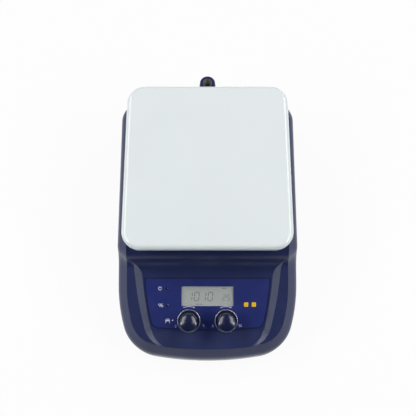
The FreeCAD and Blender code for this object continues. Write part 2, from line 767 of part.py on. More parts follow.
def control_board():
    board = slab(128, 54, 2, board_low, board_high, 0, 30)
    cuts = [cyl(1.7, -40, 40, sx * 58, s) for sx in (-1, 1) for s in (8, 52)]
    return on_panel(board.cut(cuts))


def board_posts():
    post = tube(3.0, 1.5, board_high, -wall)
    return pack([on_panel(post, sx * 58, s) for sx in (-1, 1) for s in (8, 52)])


def board_screws():
    screw = pan_head_screw(2.7, 1.9, 1.45, 8)
    return pack([on_panel(at(screw, 0, 0, board_low), sx * 58, s) for sx in (-1, 1) for s in (8, 52)])


def encoders():
    body = slab(12.4, 12.4, 0.6, board_high, encoder_top)
    bush = cyl(bush_r, encoder_top - 0.5, 2.6)
    part = body.fuse(bush)
    part = part.cut([cyl(4.8, board_high + 0.4, encoder_top - 1.3), cyl(stem_r + stem_gap, board_high + 1, 5)])
    return pack([on_panel(part, sx * knob_x, knob_s) for sx in (-1, 1)])


def hexagon(flats, z0, z1):
    r = flats / math.sqrt(3)
    points = [V(r * math.cos(math.radians(60 * k)), r * math.sin(math.radians(60 * k)), z0) for k in range(7)]
    return Part.Face(Part.makePolygon(points)).extrude(V(0, 0, z1 - z0))


def encoder_nuts():
    nut = hexagon(10, -film_seat, 1.6).cut(cyl(bush_r + 0.03, -5, 5))
    return pack([on_panel(nut, sx * knob_x, knob_s) for sx in (-1, 1)])


def push_carrier(x):
    low = board_high + 0.4 + knob_push + 0.35
    disc = cyl(4.4, low, low + 1.2)
    return on_panel(disc, x, knob_s)


def knob_stem(x):
    low = board_high + 0.4 + knob_push + 0.35 + 1.2
    stem = cyl(stem_r, low, 14)
    collar = cyl(4.3, low, encoder_top - 1.3 - 0.35)
    part = stem.fuse(collar).cut(box(1.9, 4, -4, 4, 4, 20))
    return on_panel(part, x, knob_s)


def knob_cap(x):
    z0 = knob_gap
    crown_r = knob_cap_r ** 2 / (2 * knob_crown) + knob_crown / 2
    grip = Part.makeCone(knob_cap_r, knob_cap_r - 0.6, knob_top - z0, V(0, 0, z0))
    grip = grip.common(Part.makeSphere(crown_r, V(0, 0, knob_top - crown_r)))
    rim = [e for e in grip.Edges if e.BoundBox.ZMax < knob_top - 0.5 and e.BoundBox.ZMin > z0 + 5
           and e.BoundBox.ZLength < 0.01]
    grip = grip.makeFillet(2.2, rim)
    base = cyl(knob_ring_r - knob_ring_t - 0.02, z0, z0 + 1.6)
    base = base.makeFillet(0.4, edges_at(base, z0 + 1.6))
    bore = cyl(stem_r + 0.02, z0, 14.3).cut(box(1.92, 6, -6, 6, 3, 20))
    return on_panel(grip.fuse(base).cut([cyl(8.2, z0 - 1, 6), bore]), x, knob_s)


def knob_ring(x):
    ring = tube(knob_ring_r, knob_ring_r - knob_ring_t, knob_gap, knob_gap + knob_ring_h)
    ring = ring.makeFillet(0.35, edges_at(ring, knob_gap + knob_ring_h))
    return on_panel(ring, x, knob_s)


def rod_insert():
    part = tube(insert_r, insert_core, insert_bottom, lug_top, 0, lug_y)
    cone = Part.makeCone(insert_core, insert_core + 1.1, 1.1, V(0, lug_y, lug_top - 1.1))
    return part.cut(cone)


def standoff_points():
    return [(sx * (pcb_half - 5), y) for sx in (-1, 1) for y in (pcb_y[0] + 5, pcb_y[1] - 5)]


def board_standoffs():
    post = hexagon(6, sheet_low + sheet, pcb_z).cut(cyl(1.5, 0, 40))
    return pack([at(post, x, y) for x, y in standoff_points()])


def power_screws():
    top = pan_head_screw(2.7, 1.9, 1.45, 4.5)
    top.rotate(V(0, 0, 0), V(1, 0, 0), 180)
    low = pan_head_screw(2.7, 1.7, 1.45, 4.5)
    parts = [at(top, x, y, pcb_z + pcb_t) for x, y in standoff_points()]
    parts += [at(low, x, y, sheet_low) for x, y in standoff_points()]
    return pack(parts)


def power_board():
    y0, y1 = pcb_y
    board = slab(2 * pcb_half, y1 - y0, 2, pcb_z, pcb_z + pcb_t, 0, (y0 + y1) / 2)
    return board.cut([cyl(1.7, 0, 40, x, y) for x, y in standoff_points()])


def power_parts():
    z = pcb_z + pcb_t
    y0 = pcb_y[0]
    caps = []
    for x in (-20, 2):
        can = cyl(9, z, z + 28, x, y0 + 42)
        caps.append(can.makeFillet(1.0, edges_at(can, z + 28)))
    relay = slab(28, 13, 1, z, z + 16, 40, y0 + 14)
    terminals = [slab(9.6, 9, 0.6, z, z + 11, 58 + 0.0, y0 + 30), slab(9.6, 9, 0.6, z, z + 11, 58, y0 + 42)]
    choke = tube(9, 4, z, z + 9, 30, y0 + 42)
    chip = slab(10, 10, 0.4, z, z + 1.6, -28, y0 + 12)
    return pack(caps + [relay, choke, chip] + terminals)


def transformer():
    z = pcb_z + pcb_t
    x, y = -52, pcb_y[0] + 24
    core = slab(34, 28, 1, z, z + 26, x, y)
    core = core.cut([box(x + k - 3, x + k + 3, y - 20, y + 20, z + 6, z + 20) for k in (-9, 9)])
    coil = slab(23.6, 36, 3, z + 6.2, z + 19.8, x, y)
    coil = coil.cut(box(x - 6.1, x + 6.1, y - 14.1, y + 14.1, z, z + 30))
    return pack([core, coil])


def heat_sink():
    z = pcb_z + pcb_t
    x, y = 6, pcb_y[0] + 14
    fins = [box(x - 16, x + 16, y - 7, y - 5, z, z + 24)]
    fins += [box(x - 16 + 4.28 * k, x - 14.6 + 4.28 * k, y - 5.5, y + 7, z, z + 24) for k in range(8)]
    return fuse(fins)


def mains_inlet():
    y1 = field_y
    flange = slab(50, 32, 3, 0, 2.5)
    flange.rotate(V(0, 0, 0), V(1, 0, 0), 90)
    flange = at(flange, inlet_x, y1 + 2.5, inlet_z)
    body = inlet_cut(y1 - 25, y1 + 1)
    part = fuse([flange, body])
    zc = inlet_z + 4.5
    mouth = box(inlet_x - 12, inlet_x + 12, y1 - 16, y1 + 5, zc - 8.2, zc + 8.2)
    for sx in (-1, 1):
        wedge = Part.Face(Part.makePolygon([
            V(inlet_x + sx * 12.1, y1 - 17, zc + 8.3), V(inlet_x + sx * 7.5, y1 - 17, zc + 8.3),
            V(inlet_x + sx * 12.1, y1 - 17, zc + 3.7), V(inlet_x + sx * 12.1, y1 - 17, zc + 8.3)]))
        mouth = mouth.cut(wedge.extrude(V(0, 30, 0)))
    drawer = box(inlet_x - 11.3, inlet_x + 11.3, y1 - 22, y1 + 5, inlet_z - 13.3, inlet_z - 6.0)
    holes = [y_cyl(1.6, y1 - 5, y1 + 5, inlet_x + sx * 20, inlet_z) for sx in (-1, 1)]
    slots = [box(inlet_x + x - 2.05, inlet_x + x + 2.05, y1 - 26, y1 - 10, zc + z - 1.05, zc + z + 1.05)
             for x, z in ((-7, -2), (7, -2), (0, 3))]
    return part.cut([mouth, drawer] + holes + slots)


def inlet_pins():
    y1 = field_y
    zc = inlet_z + 4.5
    return pack([box(inlet_x + x - 2, inlet_x + x + 2, y1 - 31, y1 - 3, zc + z - 1, zc + z + 1)
                 for x, z in ((-7, -2), (7, -2), (0, 3))])


def inlet_screws():
    screw = pan_head_screw(2.9, 1.9, 1.45, 9)
    screw.rotate(V(0, 0, 0), V(1, 0, 0), 90)
    return pack([at(screw, inlet_x + sx * 20, field_y + 2.5, inlet_z) for sx in (-1, 1)])


def fuse_drawer():
    y1 = field_y
    face = box(inlet_x - 11.0, inlet_x + 11.0, y1 + 1.0, y1 + 3.4, inlet_z - 13.0, inlet_z - 6.3)
    tray = box(inlet_x - 10.8, inlet_x + 10.8, y1 - 20, y1 + 1.2, inlet_z - 13.0, inlet_z - 6.5)
    room = box(inlet_x - 10.8 + 1.2, inlet_x + 10.8 - 1.2, y1 - 18.8, y1 - 0.2, inlet_z - 12.0, inlet_z)
    grip = box(inlet_x - 4, inlet_x + 4, y1 + 2.4, y1 + 4, inlet_z - 12.4, inlet_z - 11.2)
    return fuse([face, tray]).cut([room, grip])


def fuse_link():
    glass = Part.makeCylinder(2.4, 17, V(inlet_x - 8.5, field_y - 10, inlet_z - 9.5), V(1, 0, 0))
    return glass


def switch_frame():
    y1 = field_y
    flange = slab(15.4, 21.4, 1.2, 0, 1.8)
    flange.rotate(V(0, 0, 0), V(1, 0, 0), 90)
    flange = at(flange, switch_x, y1 + 1.8, switch_z)
    body = switch_cut(y1 - 18, y1 + 1)
    room = box(switch_x - 5.3, switch_x + 5.3, y1 - 9, y1 + 5, switch_z - 8.6, switch_z + 8.6)
    pivot = x_cyl(pivot_r + 0.06, switch_x - 6.3, switch_x + 6.3, y1 - pivot_in, switch_z)
    return fuse([flange, body]).cut([room, pivot])


def rocker():
    """rocker key, off side pressed in"""
    y1 = field_y
    half = 5.0
    pts = [V(switch_x - half, y1 + 2.6, switch_z + 7.9), V(switch_x - half, y1 + 0.6, switch_z),
           V(switch_x - half, y1 + 2.6, switch_z - 7.9), V(switch_x - half, y1 - 1.2, switch_z - 7.9),
           V(switch_x - half, y1 - 3.6, switch_z), V(switch_x - half, y1 - 1.2, switch_z + 7.9)]
    wire = Part.Wire([
        Part.Arc(pts[0], pts[1], pts[2]).toShape(),
        Part.LineSegment(pts[2], pts[3]).toShape(),
        Part.LineSegment(pts[3], pts[4]).toShape(),
        Part.LineSegment(pts[4], pts[5]).toShape(),
        Part.LineSegment(pts[5], pts[0]).toShape()])
    key = Part.Face(wire).extrude(V(2 * half, 0, 0))
    key.rotate(V(switch_x, y1 - pivot_in, switch_z), V(1, 0, 0), -9)
    return key.fuse(x_cyl(pivot_r, switch_x - 6.2, switch_x + 6.2, y1 - pivot_in, switch_z))


def sensor_socket():
    y1 = field_y
    ring = y_cyl(sensor_r + 3.2, y1, y1 + 2.2, sensor_x, sensor_z)
    ring = ring.makeFillet(0.8, [e for e in ring.Edges if abs(e.BoundBox.YMin - y1 - 2.2) < 1e-3])
    body = y_cyl(sensor_r + 1.2, y1 - 14, y1 + 1, sensor_x, sensor_z)
    return ring.fuse(body).cut(y_cyl(sensor_r, y1 - 8, y1 + 5, sensor_x, sensor_z))


def sensor_nut():
    nut = hexagon(20, 0, 3).cut(cyl(sensor_r + 1.25, -1, 5))
    nut.rotate(V(0, 0, 0), V(1, 0, 0), 90)
    return at(nut, sensor_x, field_y - wall, sensor_z)


def sensor_pins():
    y1 = field_y
    pins = []
    for a in (45, 90, 135, 225, 315):
        x = sensor_x + 3.6 * math.cos(math.radians(a))
        z = sensor_z + 3.6 * math.sin(math.radians(a))
        pins.append(y_cyl(0.6, y1 - 8, y1 - 3, x, z))
    return pack(pins)


def wire_grommet():
    y = plate_y - 62
    part = tube(8.0, 4.5, deck_z, deck_z + 1.6, 0, y)
    return fuse([part, tube(5.9, 4.5, deck_z - wall, deck_z + 1, 0, y)])


nodes = {
    "upper_housing": upper_housing,
    "base_plate": base_plate,
    "feet": feet,
    "base_screws": base_screws,
    "top_plate": top_plate,
    "heating_element": heating_element,
    "heater_terminals": heater_terminals,
    "insulation": insulation,
    "heat_pan": heat_pan,
    "lower_spacers": lower_spacers,
    "upper_spacers": upper_spacers,
    "plate_screws": plate_screws,
    "plate_probe": plate_probe,
    "thermal_cutout": thermal_cutout,
    "motor_bracket": motor_bracket,
    "bracket_screws": bracket_screws,
    "motor_housing": motor_housing,
    "motor_end_cap": motor_end_cap,
    "bearings": bearings,
    "stator_core": stator_core,
    "stator_windings": stator_windings,
    "rotor_core": rotor_core,
    "motor_shaft": motor_shaft,
    "magnet_yoke": magnet_yoke,
    "magnets": magnets,
    "control_film": control_film,
    "lcd_window": lcd_window,
    "lcd_module": lcd_module,
    "stir_lamp": lambda: lamp(*lamp_spots[0]),
    "heat_lamp": lambda: lamp(*lamp_spots[1]),
    "control_board": control_board,
    "board_posts": board_posts,
    "small_screws": lambda: pack([board_screws(), power_screws(), inlet_screws(), motor_screws()]),
    "encoders": encoders,
    "encoder_nuts": encoder_nuts,
    "stir_carrier": lambda: push_carrier(-knob_x),
    "heat_carrier": lambda: push_carrier(knob_x),
    "stir_stem": lambda: knob_stem(-knob_x),
    "heat_stem": lambda: knob_stem(knob_x),
    "stir_knob": lambda: knob_cap(-knob_x),
    "heat_knob": lambda: knob_cap(knob_x),
    "stir_knob_ring": lambda: knob_ring(-knob_x),
    "heat_knob_ring": lambda: knob_ring(knob_x),
    "rod_insert": rod_insert,
    "board_standoffs": board_standoffs,
    "power_board": power_board,
    "power_parts": power_parts,
    "transformer": transformer,
    "heat_sink": heat_sink,
    "mains_inlet": mains_inlet,
    "inlet_pins": inlet_pins,
    "fuse_drawer": fuse_drawer,
    "fuse_link": fuse_link,
    "switch_frame": switch_frame,
    "rocker": rocker,
    "sensor_socket": sensor_socket,
    "sensor_nut": sensor_nut,
    "sensor_pins": sensor_pins,
    "wire_grommet": wire_grommet,
}

for name, make in nodes.items():
    make().exportStep("parts/" + name + ".step")
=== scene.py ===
import bpy
import bmesh
import json
import math
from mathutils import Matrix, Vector


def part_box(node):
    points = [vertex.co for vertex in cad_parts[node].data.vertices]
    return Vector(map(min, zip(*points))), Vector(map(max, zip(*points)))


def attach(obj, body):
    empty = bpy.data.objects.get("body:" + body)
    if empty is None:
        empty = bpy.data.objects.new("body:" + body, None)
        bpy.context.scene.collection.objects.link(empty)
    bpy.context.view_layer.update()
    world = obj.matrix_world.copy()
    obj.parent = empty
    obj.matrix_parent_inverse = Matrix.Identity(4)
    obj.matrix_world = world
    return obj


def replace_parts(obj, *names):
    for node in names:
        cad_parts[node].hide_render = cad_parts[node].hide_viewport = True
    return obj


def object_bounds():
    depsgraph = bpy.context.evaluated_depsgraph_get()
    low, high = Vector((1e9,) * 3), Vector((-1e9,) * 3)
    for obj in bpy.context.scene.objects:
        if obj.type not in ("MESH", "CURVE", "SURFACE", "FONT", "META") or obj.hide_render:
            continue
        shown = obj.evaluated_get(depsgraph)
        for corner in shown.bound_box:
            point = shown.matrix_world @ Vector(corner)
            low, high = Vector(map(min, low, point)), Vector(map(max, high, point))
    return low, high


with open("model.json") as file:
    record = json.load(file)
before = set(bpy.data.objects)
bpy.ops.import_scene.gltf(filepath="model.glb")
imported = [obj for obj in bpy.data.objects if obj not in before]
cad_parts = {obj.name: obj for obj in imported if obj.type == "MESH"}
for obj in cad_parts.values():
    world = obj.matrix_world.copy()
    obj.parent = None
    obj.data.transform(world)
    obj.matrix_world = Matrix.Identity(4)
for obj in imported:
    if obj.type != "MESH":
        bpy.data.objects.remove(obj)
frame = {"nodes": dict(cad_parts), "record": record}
cad_low, cad_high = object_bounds()

# the sunken control panel, metres: x runs across, s up its slope, n out of its face, and pairs are (x, s)
PANEL_SETBACK = 0.032
PANEL_FOOT_Y = cad_low[1] + PANEL_SETBACK
PANEL_FOOT_Z = 0.0426
PANEL_TILT = math.radians(12.5)
KNOB_X = 0.0212
KNOB_S = 0.0122
STIR_LAMP = (-0.0464, 0.0486)
HEAT_LAMP = (-0.0454, 0.0294)
PLATE_SIGN = (-0.0456, 0.0122)
YELLOW_MARKS = ((0.0442, 0.0303), (0.0530, 0.0303))
DISPLAY_S = 0.0397
DISPLAY_FACE = -0.00135
FILM_TOP = 0.00015
PRINT = 0.00004
NUMBER_LEAN = 0.10

# right half of the control film's outline, from its upper corner to the middle of its lower edge,
# and how far in the painted shade of the gap at its edge starts and ends
FILM_CORNER = (0.0725, 0.061)
FILM_SIDE = (0.0699, 0.0355)
FILM_WAIST = (0.0654, 0.012)
FILM_BEND = (0.0626, 0.0062)
FILM_TOE = (0.055, 0.0032)
FILM_MIDDLE = (0.0, 0.0008)
GAP_SHADE_INSETS = (0.0003, 0.0013)

# the mains rocker: its pivot, and the hollow of its face
ROCKER_PIVOT = (-0.027, 0.1335, 0.038)
ROCKER_FACE = 0.0016
ROCKER_HOLLOW = 0.0166
ROCKER_TILT = math.radians(-9)

# thread of the rod socket
THREAD_CORE = 0.00425
THREAD_DEPTH = 0.00065
THREAD_PITCH = 0.0015
THREAD_SINK = 0.0011
BUSH_CHAMFER = 0.0003

# the plate's corners and rim in the source, and how far out the photograph shows its outline
PLATE_CORNER = 0.028
PLATE_RIM = 0.007
SEEN_CORNER = 0.0208
OUT_SIDE = 0.0009
OUT_FRONT = 0.0020
OUT_REAR = 0.0033

# strokes of a figure, on a grid one wide and two high
STROKES = {"a": ((0, 2), (1, 2)), "b": ((1, 2), (1, 1)), "c": ((1, 1), (1, 0)), "d": ((0, 0), (1, 0)),
           "e": ((0, 0), (0, 1)), "f": ((0, 1), (0, 2)), "g": ((0, 1), (1, 1))}
FIGURES = {"0": "abcdef", "1": "bc", "2": "abged", "3": "abgcd", "4": "fgbc",
           "5": "afgcd", "6": "afgedc", "7": "abc", "8": "abcdefg", "9": "abcdfg"}

# width and space as shares of a figure's height, and the gap at a stroke's ends as a share of its width
FIGURE_WIDTH = 0.52
FIGURE_SPACE = 0.28
STROKE_GAP = 0.62


def linear(r, g, b):
    """colour written as 0-255 screen values, as linear light"""
    out = []
    for c in (r, g, b):
        c /= 255.0
        out.append(c / 12.92 if c <= 0.04045 else ((c + 0.055) / 1.055) ** 2.4)
    return tuple(out) + (1.0,)


def shade(colour, k):
    """the colour made darker or lighter by a factor"""
    return tuple(min(1.0, c * k) for c in colour[:3]) + (1.0,)


def between(tree, value, start, stop, low, high):
    """value mapped from start..stop onto low..high"""
    node = tree.nodes.new("ShaderNodeMapRange")
    for key, number in (("From Min", start), ("From Max", stop), ("To Min", low), ("To Max", high)):
        node.inputs[key].default_value = number
    tree.links.new(value, node.inputs["Value"])
    return node.outputs["Result"]


def maths(tree, operation, *values):
    node = tree.nodes.new("ShaderNodeMath")
    node.operation = operation
    for socket, value in zip(node.inputs, values):
        if isinstance(value, float):
            socket.default_value = value
        else:
            tree.links.new(value, socket)
    return node.outputs[0]


class Nodes:
    """short way to build one material's node tree"""

    def __init__(self, name):
        self.mat = bpy.data.materials.new(name)
        self.mat.use_nodes = True
        self.tree = self.mat.node_tree
        self.shader = self.tree.nodes["Principled BSDF"]
        self.coords = self.add("ShaderNodeTexCoord").outputs["Object"]

    def add(self, kind, **values):
        node = self.tree.nodes.new(kind)
        for key, value in values.items():
            setattr(node, key, value)
        return node

    def link(self, out, into):
        self.tree.links.new(out, into)

    def stretched(self, scale):
        mapping = self.add("ShaderNodeMapping")
        mapping.inputs["Scale"].default_value = scale
        self.link(self.coords, mapping.inputs["Vector"])
        return mapping.outputs["Vector"]

    def noise(self, scale, detail=3.0, rough=0.5, stretch=(1, 1, 1)):
        node = self.add("ShaderNodeTexNoise")
        node.inputs["Scale"].default_value = scale
        node.inputs["Detail"].default_value = detail
        node.inputs["Roughness"].default_value = rough
        self.link(self.stretched(stretch), node.inputs["Vector"])
        return node.outputs["Fac"]

    def bands(self, scale):
        """level bands, one over another"""
        node = self.add("ShaderNodeTexWave", bands_direction="Z")
        node.inputs["Scale"].default_value = scale
        node.inputs["Distortion"].default_value = 0.0
        self.link(self.coords, node.inputs["Vector"])
        return node.outputs["Fac"]

    def spread(self, value, low, high, start=0.3, stop=0.7):
        return between(self.tree, value, start, stop, low, high)

    def blend(self, value, a, b, start=0.3, stop=0.7):
        node = self.add("ShaderNodeMix", data_type="RGBA")
        self.link(self.spread(value, 0.0, 1.0, start, stop), node.inputs["Factor"])
        for key, colour in ((6, a), (7, b)):
            if isinstance(colour, tuple):
                node.inputs[key].default_value = colour
            else:
                self.link(colour, node.inputs[key])
        return node.outputs[2]

    def colour(self, out):
        self.link(out, self.shader.inputs["Base Color"])

    def rough(self, out):
        self.link(out, self.shader.inputs["Roughness"])

    def bump(self, *heights):
        """each height is (value, millimetres)"""
        last = None
        for value, mm in heights:
            node = self.add("ShaderNodeBump")
            node.inputs["Strength"].default_value = 1.0
            node.inputs["Distance"].default_value = mm / 1000
            self.link(value, node.inputs["Height"])
            if last is not None:
                self.link(last, node.inputs["Normal"])
            last = node.outputs["Normal"]
        self.link(last, self.shader.inputs["Normal"])

    def set(self, **values):
        for key, value in values.items():
            self.shader.inputs[key.replace("_", " ")].default_value = value


def moulded(name, colour, rough, grain=900.0, depth=0.010, vary=0.10, coat=0.0, specular=0.5):
    """moulded plastic or rubber: cloudy colour, fine grain and handling marks in the gloss"""
    n = Nodes(name)
    n.colour(n.blend(n.noise(24.0, detail=4.0), shade(colour, 1 - vary), shade(colour, 1 + vary)))
    n.rough(n.spread(n.noise(60.0, detail=6.0, rough=0.65), rough * 0.86, rough * 1.16))
    n.bump((n.noise(grain, detail=2.0), depth), (n.noise(45.0, detail=2.0), 0.012))
    n.set(Coat_Weight=coat, Coat_Roughness=0.14, Specular_IOR_Level=specular)
    return n.mat


def metal(name, colour, rough, stretch=(1, 1, 1), grain=500.0, vary=0.12):
    """bare or plated metal: faint tarnish, and brush lines that run across the larger number of stretch"""
    n = Nodes(name)
    tarnish = n.noise(30.0, detail=5.0, rough=0.6)
    n.colour(n.blend(tarnish, shade(colour, 1 - vary), shade(colour, 1 + vary * 0.4)))
    lines = n.noise(grain, detail=4.0, rough=0.6, stretch=stretch)
    n.rough(n.spread(lines, rough * 0.8, rough * 1.3))
    n.bump((lines, 0.006))
    n.set(Metallic=1.0)
    return n.mat


def glazed(name, colour):
    """white glaze: faint ripple, pin specks and a grey breath of use"""
    n = Nodes(name)
    base = n.blend(n.noise(9.0, detail=4.0), shade(colour, 0.985), shade(colour, 1.01))
    specks = n.noise(1400.0, detail=1.0)
    n.colour(n.blend(specks, base, shade(colour, 0.86), start=0.775, stop=0.80))
    n.rough(n.spread(n.noise(35.0, detail=6.0, rough=0.7), 0.14, 0.24))
    n.bump((n.noise(110.0, detail=2.0), 0.020), (n.noise(14.0, detail=1.0), 0.050))
    n.set(Coat_Weight=0.25, Coat_Roughness=0.05)
    return n.mat


def painted(name, colour, rough):
    """powder coat: pebbled skin"""
    n = Nodes(name)
    n.colour(n.blend(n.noise(40.0, detail=5.0), shade(colour, 0.85), shade(colour, 1.2)))
    n.rough(n.spread(n.noise(300.0, detail=3.0), rough * 0.9, rough * 1.1))
    n.bump((n.noise(1100.0, detail=3.0), 0.030))
    return n.mat


def fibre(name, colour):
    """mineral wool: coarse strands"""
    n = Nodes(name)
    strands = n.noise(700.0, detail=6.0, rough=0.7, stretch=(1, 1, 5))
    n.colour(n.blend(strands, shade(colour, 0.72), shade(colour, 1.05)))
    n.rough(n.spread(strands, 0.85, 1.0))
    n.bump((strands, 0.25))
    n.set(Sheen_Weight=0.3)
    return n.mat


def layered(name, colour, pitch, rough, metallic):
    """thin sheets or turns of wire, one on another"""
    n = Nodes(name)
    bands = n.bands(pitch)
    n.colour(n.blend(bands, shade(colour, 0.6), shade(colour, 1.1)))
    n.rough(n.spread(n.noise(400.0), rough * 0.85, rough * 1.15))
    n.bump((bands, 0.08))
    n.set(Metallic=metallic)
    return n.mat


def circuit(name, colour):
    """solder mask with tracks under it"""
    n = Nodes(name)
    cells = n.add("ShaderNodeTexBrick")
    cells.inputs["Scale"].default_value = 90.0
    cells.inputs["Mortar Size"].default_value = 0.06
    n.link(n.coords, cells.inputs["Vector"])
    n.colour(n.blend(cells.outputs["Fac"], shade(colour, 0.9), shade(colour, 1.9)))
    n.rough(n.spread(n.noise(200.0), 0.26, 0.36))
    n.bump((cells.outputs["Fac"], 0.05), (n.noise(600.0), 0.01))
    return n.mat


def clear(name, colour, alpha):
    """thin clear pane or tube with faint smears"""
    n = Nodes(name)
    n.colour(n.blend(n.noise(20.0), shade(colour, 0.96), colour))
    n.rough(n.spread(n.noise(70.0, detail=5.0), 0.042, 0.096))
    n.bump((n.noise(60.0), 0.004))
    n.set(Alpha=alpha, Specular_IOR_Level=0.5)
    n.mat.surface_render_method = "BLENDED"
    return n.mat


def display(name, colour):
    """reflective display cell: faint cloud and a fine pixel grain"""
    n = Nodes(name)
    n.colour(n.blend(n.noise(26.0, detail=2.0), shade(colour, 0.93), shade(colour, 1.04)))
    n.rough(n.spread(n.noise(500.0), 0.45, 0.6))
    n.bump((n.noise(1500.0, detail=1.0), 0.004))
    return n.mat


def ink(name, colour, rough=0.45):
    """screen-printed ink"""
    n = Nodes(name)
    n.colour(n.blend(n.noise(900.0, detail=3.0), shade(colour, 0.88), shade(colour, 1.03)))
    n.rough(n.spread(n.noise(700.0), rough * 0.85, rough * 1.2))
    n.bump((n.noise(1800.0), 0.004))
    return n.mat


STEEL = (0.56, 0.57, 0.58, 1.0)
POLISHED = (0.66, 0.66, 0.67, 1.0)
BLACK = (0.022, 0.022, 0.024, 1.0)
finishes = {}


def finish(slot, maker, *values, **options):
    """makes the material that every node of a slot gets"""
    finishes[slot] = maker(slot + "_finish", *values, **options)


# casing, feet and fasteners
finish("shell_blue", moulded, linear(36, 45, 84), rough=0.33, vary=0.06, specular=0.58)
finish("base_steel", painted, (0.035, 0.035, 0.04, 1), rough=0.5)
finish("foot_rubber", moulded, BLACK, rough=0.75, depth=0.03)
finish("screw_steel", metal, STEEL, rough=0.32)

# plate, heater and pan
finish("plate_white", glazed, (0.80, 0.845, 0.845, 1))
finish("heater_mica", layered, (0.45, 0.38, 0.28, 1), pitch=800.0, rough=0.6, metallic=0.0)
finish("terminal_brass", metal, (0.72, 0.55, 0.25, 1), rough=0.3)
finish("insulation_mat", fibre, (0.72, 0.70, 0.64, 1))
finish("pan_dark", metal, (0.16, 0.16, 0.17, 1), rough=0.38, stretch=(1, 12, 1), grain=260.0)
finish("spacer_ceramic", moulded, (0.78, 0.75, 0.68, 1), rough=0.6, grain=700.0, depth=0.02)
finish("probe_steel", metal, STEEL, rough=0.3)
finish("cutout_case", metal, STEEL, rough=0.34)

# motor and magnets
finish("bracket_steel", metal, STEEL, rough=0.42, grain=120.0, vary=0.25)
finish("motor_paint", painted, (0.06, 0.06, 0.065, 1), rough=0.42)
finish("bearing_steel", metal, POLISHED, rough=0.14, stretch=(1, 1, 8))
finish("core_steel", layered, (0.32, 0.32, 0.33, 1), pitch=320.0, rough=0.4, metallic=0.9)
finish("coil_brass", layered, (0.66, 0.30, 0.12, 1), pitch=420.0, rough=0.3, metallic=0.8)
finish("shaft_steel", metal, POLISHED, rough=0.16, stretch=(1, 1, 8))
finish("yoke_steel", metal, STEEL, rough=0.36, stretch=(8, 1, 1))
finish("magnet_nickel", metal, (0.66, 0.66, 0.63, 1), rough=0.18)

# control panel, knobs and rod socket
finish("film_blue", moulded, linear(26, 38, 104), rough=0.42, grain=1500.0, depth=0.006, vary=0.05)
finish("window_clear", clear, (0.80, 0.84, 0.82, 1), alpha=0.12)
finish("display_grey", display, linear(206, 209, 206))
finish("lamp_dark", moulded, (0.012, 0.02, 0.012, 1), rough=0.12, coat=0.5)
finish("board_green", circuit, (0.015, 0.11, 0.045, 1))
finish("post_plastic", moulded, (0.74, 0.74, 0.70, 1), rough=0.5)
finish("encoder_black", moulded, BLACK, rough=0.5)
finish("nut_steel", metal, STEEL, rough=0.28)
finish("stem_alloy", metal, (0.60, 0.61, 0.63, 1), rough=0.3, stretch=(1, 1, 10))
finish("knob_navy", moulded, linear(25, 30, 62), rough=0.27, grain=500.0, depth=0.002, vary=0.05, coat=0.45)
finish("ring_silver", metal, (0.74, 0.76, 0.82, 1), rough=0.36, stretch=(1, 1, 6))
finish("insert_steel", metal, (0.50, 0.50, 0.51, 1), rough=0.3, stretch=(1, 1, 10))

# power board and rear field
finish("parts_black", moulded, (0.04, 0.04, 0.045, 1), rough=0.45)
finish("sink_alloy", metal, (0.58, 0.59, 0.61, 1), rough=0.36, stretch=(1, 1, 0.1))
finish("inlet_black", moulded, BLACK, rough=0.42, grain=700.0, depth=0.012)
finish("pin_brass", metal, (0.72, 0.70, 0.62, 1), rough=0.22, stretch=(1, 0.1, 1))
finish("fuse_glass", clear, (0.80, 0.82, 0.80, 1), alpha=0.35)
finish("rocker_black", moulded, BLACK, rough=0.2, coat=0.3)
finish("socket_chrome", metal, (0.62, 0.62, 0.63, 1), rough=0.24)
finish("grommet_rubber", moulded, BLACK, rough=0.7, depth=0.02)

white_ink = ink("white_ink", linear(206, 210, 224))
yellow_ink = ink("yellow_ink", linear(238, 186, 12))
segment_ink = ink("segment_ink", linear(112, 116, 116), rough=0.5)
# dark navy ink for the line round the film's edge: painted shade of the gap between film and panel, not a
# real print
gap_shade_ink = ink("gap_shade_ink", linear(14, 18, 44), rough=0.4)


def dress_nodes():
    """gives each CAD node its slot's material"""
    for row in frame["record"]["subparts"]:
        node = frame["nodes"][row["node"]]
        node.data.materials.clear()
        node.data.materials.append(finishes[row["material_slot"]])


def piece(name, mesh, body, slot, material=None):
    """new piece that rides a body, with its slot's material if it has none of its own"""
    obj = bpy.data.objects.new(name, mesh)
    bpy.context.scene.collection.objects.link(obj)
    mesh.materials.append(material or finishes[slot])
    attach(obj, body)
    return obj


